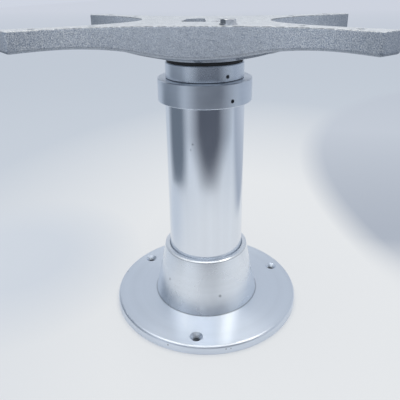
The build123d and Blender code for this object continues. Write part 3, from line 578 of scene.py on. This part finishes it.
# Bolt with its washer and nut, the screws of the hub and the gearbox: steel
# with a bright zinc coat, slightly cloudy, with painted shade on its upright
# faces that face left.
zinc_finish, tree, shader, place = new_material("zinc plated steel")
cells = put(tree, "TexVoronoi", {"Vector": place, "Scale": 420.0}, feature="SMOOTH_F1")
cloud = cells.outputs["Distance"]
edge = use(tree, edge_wear_and_highlight, Position=place, Width=0.0004)["Edge"]
touched = use(tree, handling, Position=place)
facing = parts_of(tree, put(tree, "NewGeometry").outputs["Normal"])
left_facet_shade, upright = spread(tree, facing[0], -0.2, -0.5), spread(tree, facing[2], 0.6, 0.3)
sockets = {
    "Base Color": layered(
        tree,
        linear(186, 190, 196),
        (spread(tree, cloud, 0.1, 0.6), linear(214, 217, 222)),
        # Painted shade on the upright faces that face left.
        (times(tree, left_facet_shade, upright, 0.85), linear(84, 92, 101)),
        # Edges lighter: wear, and a painted highlight.
        (times(tree, edge, 0.6), linear(236, 238, 240)),
    ),
    "Roughness": smudged(tree, touched, 0.2, 0.32),
    "Metallic": 1.0,
}
finish_surface(tree, shader, cloud, 0.1, 0.0002, sockets)
finish_nodes(zinc_finish, "gearbox", "top_bolt", "top_washer", "top_nut", "hub_screws")

# Camera: close to the pedestal and a little above the spider, looking down,
# with the lens moved so that the uprights lean as they do in the photograph.
heading, dip, roll = 0.1313, 0.3669, -0.0118
camera = bpy.data.objects.new("camera", bpy.data.cameras.new("camera"))
bpy.context.scene.collection.objects.link(camera)
camera.data.sensor_width = 36.0
camera.data.lens = 40.22
camera.data.shift_y = -0.1
camera.data.clip_start = 0.01
camera.location = (0.0589, -0.4947, 0.3777)
level_length = math.cos(dip)
ahead = Vector(
    (-math.sin(heading) * level_length, math.cos(heading) * level_length, -math.sin(dip))
)
camera.rotation_mode = "QUATERNION"
level = ahead.to_track_quat("-Z", "Y").to_matrix()
camera.rotation_quaternion = (level @ Matrix.Rotation(roll, 3, "Z")).to_quaternion()
bpy.context.scene.camera = camera

# Studio: a pale floor that runs back out of sight, two soft lights above, a
# paler room round it, and two dark cards that only the metal mirrors. The
# floor is shown a little evener than the light makes it; its shown tone holds
# a painted pool of light round the pedestal and painted shadows to its left
# and right.
floor_side, floor_back = 6, 18
floor_mesh = bpy.data.meshes.new("studio_floor")
floor_mesh.from_pydata(
    [
        (-floor_side, -floor_side, 0),
        (floor_side, -floor_side, 0),
        (floor_side, floor_back, 0),
        (-floor_side, floor_back, 0),
    ],
    [],
    [(0, 1, 2, 3)],
)
floor = bpy.data.objects.new("studio_floor", floor_mesh)
bpy.context.scene.collection.objects.link(floor)


def blend_shader(tree, share, first, second):
    """Two shaders mixed by a share."""
    return put(tree, "MixShader", {0: share, 1: first, 2: second}).outputs[0]


floor_paint, tree, shader, place = new_material("pale floor")
fill(
    tree,
    shader,
    {"Base Color": linear(226, 230, 235), "Roughness": 0.9, "Specular IOR Level": 0.1},
)
# Painted light on the floor: a paler pool round the pedestal, darker beyond it, and painted
# shadows to the left and to the right.
light_pool_middle, light_pool_width, light_pool_depth = (0.06, 0.06, 0.0), 0.42, 0.72
from_light_pool = vector_of(tree, "SUBTRACT", place, light_pool_middle)
from_light_pool = vector_of(tree, "MULTIPLY", from_light_pool, (1 / light_pool_width, 1 / light_pool_depth, 0.0))
back = parts_of(tree, place)[1]
left_shadow_away = measure_of(tree, "DISTANCE", place, (-0.3, 0.04, 0.0))
right_shadow_away = measure_of(tree, "DISTANCE", place, (1.205, 0.456, 0.0))
right_shadow_tone = layered(
    tree, linear(152, 162, 179), (spread(tree, back, 0.2, 0.75), linear(188, 196, 209))
)
right_shadow_share = times(
    tree, spread(tree, right_shadow_away, 1.045, 0.985), spread(tree, back, 0.03, 0.16)
)
# Floor tone: painted pool of light, the distance, a painted shadow to the left, a painted shadow
# to the right, and a bluer front.
tone = layered(
    tree,
    linear(231, 233, 235),
    (spread(tree, measure_of(tree, "LENGTH", from_light_pool), 0.45, 1.45), linear(192, 201, 213)),
    (spread(tree, back, 1.2, 8.0), linear(212, 217, 229)),
    (spread(tree, left_shadow_away, 0.2, 0.08), linear(203, 211, 222)),
    (right_shadow_share, right_shadow_tone),
    (spread(tree, back, -0.3, -0.8), linear(232, 240, 251)),
)
plate_edge, clear_of_plate, shown_share = 0.112, 0.12, 0.75
shown = put(tree, "Emission", {0: tone, 1: 1.0}).outputs[0]
rays = put(tree, "LightPath").outputs
watched = figure(tree, "MAXIMUM", rays["Is Camera Ray"], rays["Is Glossy Ray"])
out = measure_of(tree, "LENGTH", place)
share = times(tree, watched, spread(tree, out, plate_edge, clear_of_plate, 0.0, shown_share))
both = blend_shader(tree, share, shader.outputs[0], shown)
tree.links.new(both, tree.nodes["Material Output"].inputs[0])
floor_mesh.materials.append(floor_paint)


def dark_card(name, middle, half_width, taper, low, fade, top, softness, colour):
    """Upright card, bent round the object, seen only in what the metal mirrors.

    Its middle and half its width are in degrees from the front. It narrows downwards
    by the taper to its low end, and it fades out from one height to its top. Its
    rounded outline is soft, so that the metal shows it without an edge.
    """
    distance, round_height, steps = 0.41, 0.11, 24
    widest = half_width * (1 + softness)
    rows = []
    for level in (0.0, top):
        for step in range(steps + 1):
            turn = math.radians(middle + widest * (2 * step / steps - 1))
            rows.append((math.sin(turn) * distance, -math.cos(turn) * distance, level))
    wide = steps + 1
    faces = [(step, step + 1, wide + step + 1, wide + step) for step in range(steps)]
    mesh = bpy.data.meshes.new(name)
    mesh.from_pydata(rows, [], faces)
    card = bpy.data.objects.new(name, mesh)
    bpy.context.scene.collection.objects.link(card)
    paint, tree, _, place = new_material(name)
    right, back, height = parts_of(tree, place)
    turn = figure(tree, "ARCTAN2", right, times(tree, back, -1.0))
    across = figure(tree, "SUBTRACT", turn, math.radians(middle))
    across = figure(tree, "DIVIDE", across, math.radians(half_width))
    below = figure(tree, "MAXIMUM", figure(tree, "SUBTRACT", round_height, height), 0.0)
    down = figure(tree, "DIVIDE", below, round_height - low)
    across = times(tree, across, figure(tree, "MULTIPLY_ADD", down, taper, 1.0))
    outline = measure_of(tree, "LENGTH", put(tree, "CombineXYZ", {0: across, 1: down}).outputs[0])
    solid = spread(tree, outline, 1 + softness, 1 - softness)
    solid = times(tree, solid, spread(tree, height, top, fade))
    glow = put(tree, "Emission", {0: colour, 1: 1.0}).outputs[0]
    both = blend_shader(tree, solid, put(tree, "BsdfTransparent").outputs[0], glow)
    tree.links.new(both, tree.nodes["Material Output"].inputs[0])
    mesh.materials.append(paint)
    card.visible_camera = False
    card.visible_diffuse = False
    card.visible_shadow = False


dark_card(
    "dark_card_front",
    middle=18,
    half_width=49,
    taper=0.8,
    low=-0.005,
    fade=0.27,
    top=0.34,
    softness=0.5,
    colour=linear(88, 93, 104),
)
dark_card(
    "dark_card_left",
    middle=-79,
    half_width=30,
    taper=0.0,
    low=-0.05,
    fade=0.19,
    top=0.33,
    softness=0.35,
    colour=linear(110, 120, 132),
)

world = bpy.data.worlds.new("studio")
bpy.context.scene.world = world
world.use_nodes = True
tree = world.node_tree
tree.nodes.clear()
_, toward_back, toward_top = parts_of(tree, put(tree, "TexCoord").outputs["Generated"])
room = layered(
    tree,
    linear(212, 219, 231),
    (spread(tree, toward_top, -0.1, 0.9), linear(230, 235, 241)),
    (spread(tree, toward_back, -0.1, -0.9), linear(232, 240, 251)),
)
seen = put(tree, "Background", {"Color": linear(208, 214, 226), "Strength": 1.0}).outputs[0]
felt = put(tree, "Background", {"Color": room, "Strength": 0.8}).outputs[0]
watched = put(tree, "LightPath").outputs["Is Camera Ray"]
put(tree, "OutputWorld", {"Surface": blend_shader(tree, watched, felt, seen)})


def soft_light(name, place, width, depth, power, colour):
    """Flat studio light with a soft edge, aimed at the pedestal's foot."""
    foot = Vector((0, 0, 0.1))
    lamp = bpy.data.objects.new(name, bpy.data.lights.new(name, "AREA"))
    lamp.data.shape = "RECTANGLE"
    lamp.data.size = width
    lamp.data.size_y = depth
    lamp.data.energy = power
    lamp.data.color = colour
    lamp.location = place
    lamp.rotation_mode = "QUATERNION"
    lamp.rotation_quaternion = (foot - Vector(place)).to_track_quat("-Z", "Y")
    bpy.context.scene.collection.objects.link(lamp)


soft_light("overhead", (0.04, -0.05, 1.5), 2.0, 2.0, power=9.5, colour=(1.0, 0.975, 0.94))
soft_light("strip", (0.12, 0.0, 1.4), 0.5, 1.6, power=3.7, colour=(1.0, 0.86, 0.62))

bpy.context.scene.view_settings.view_transform = "Standard"
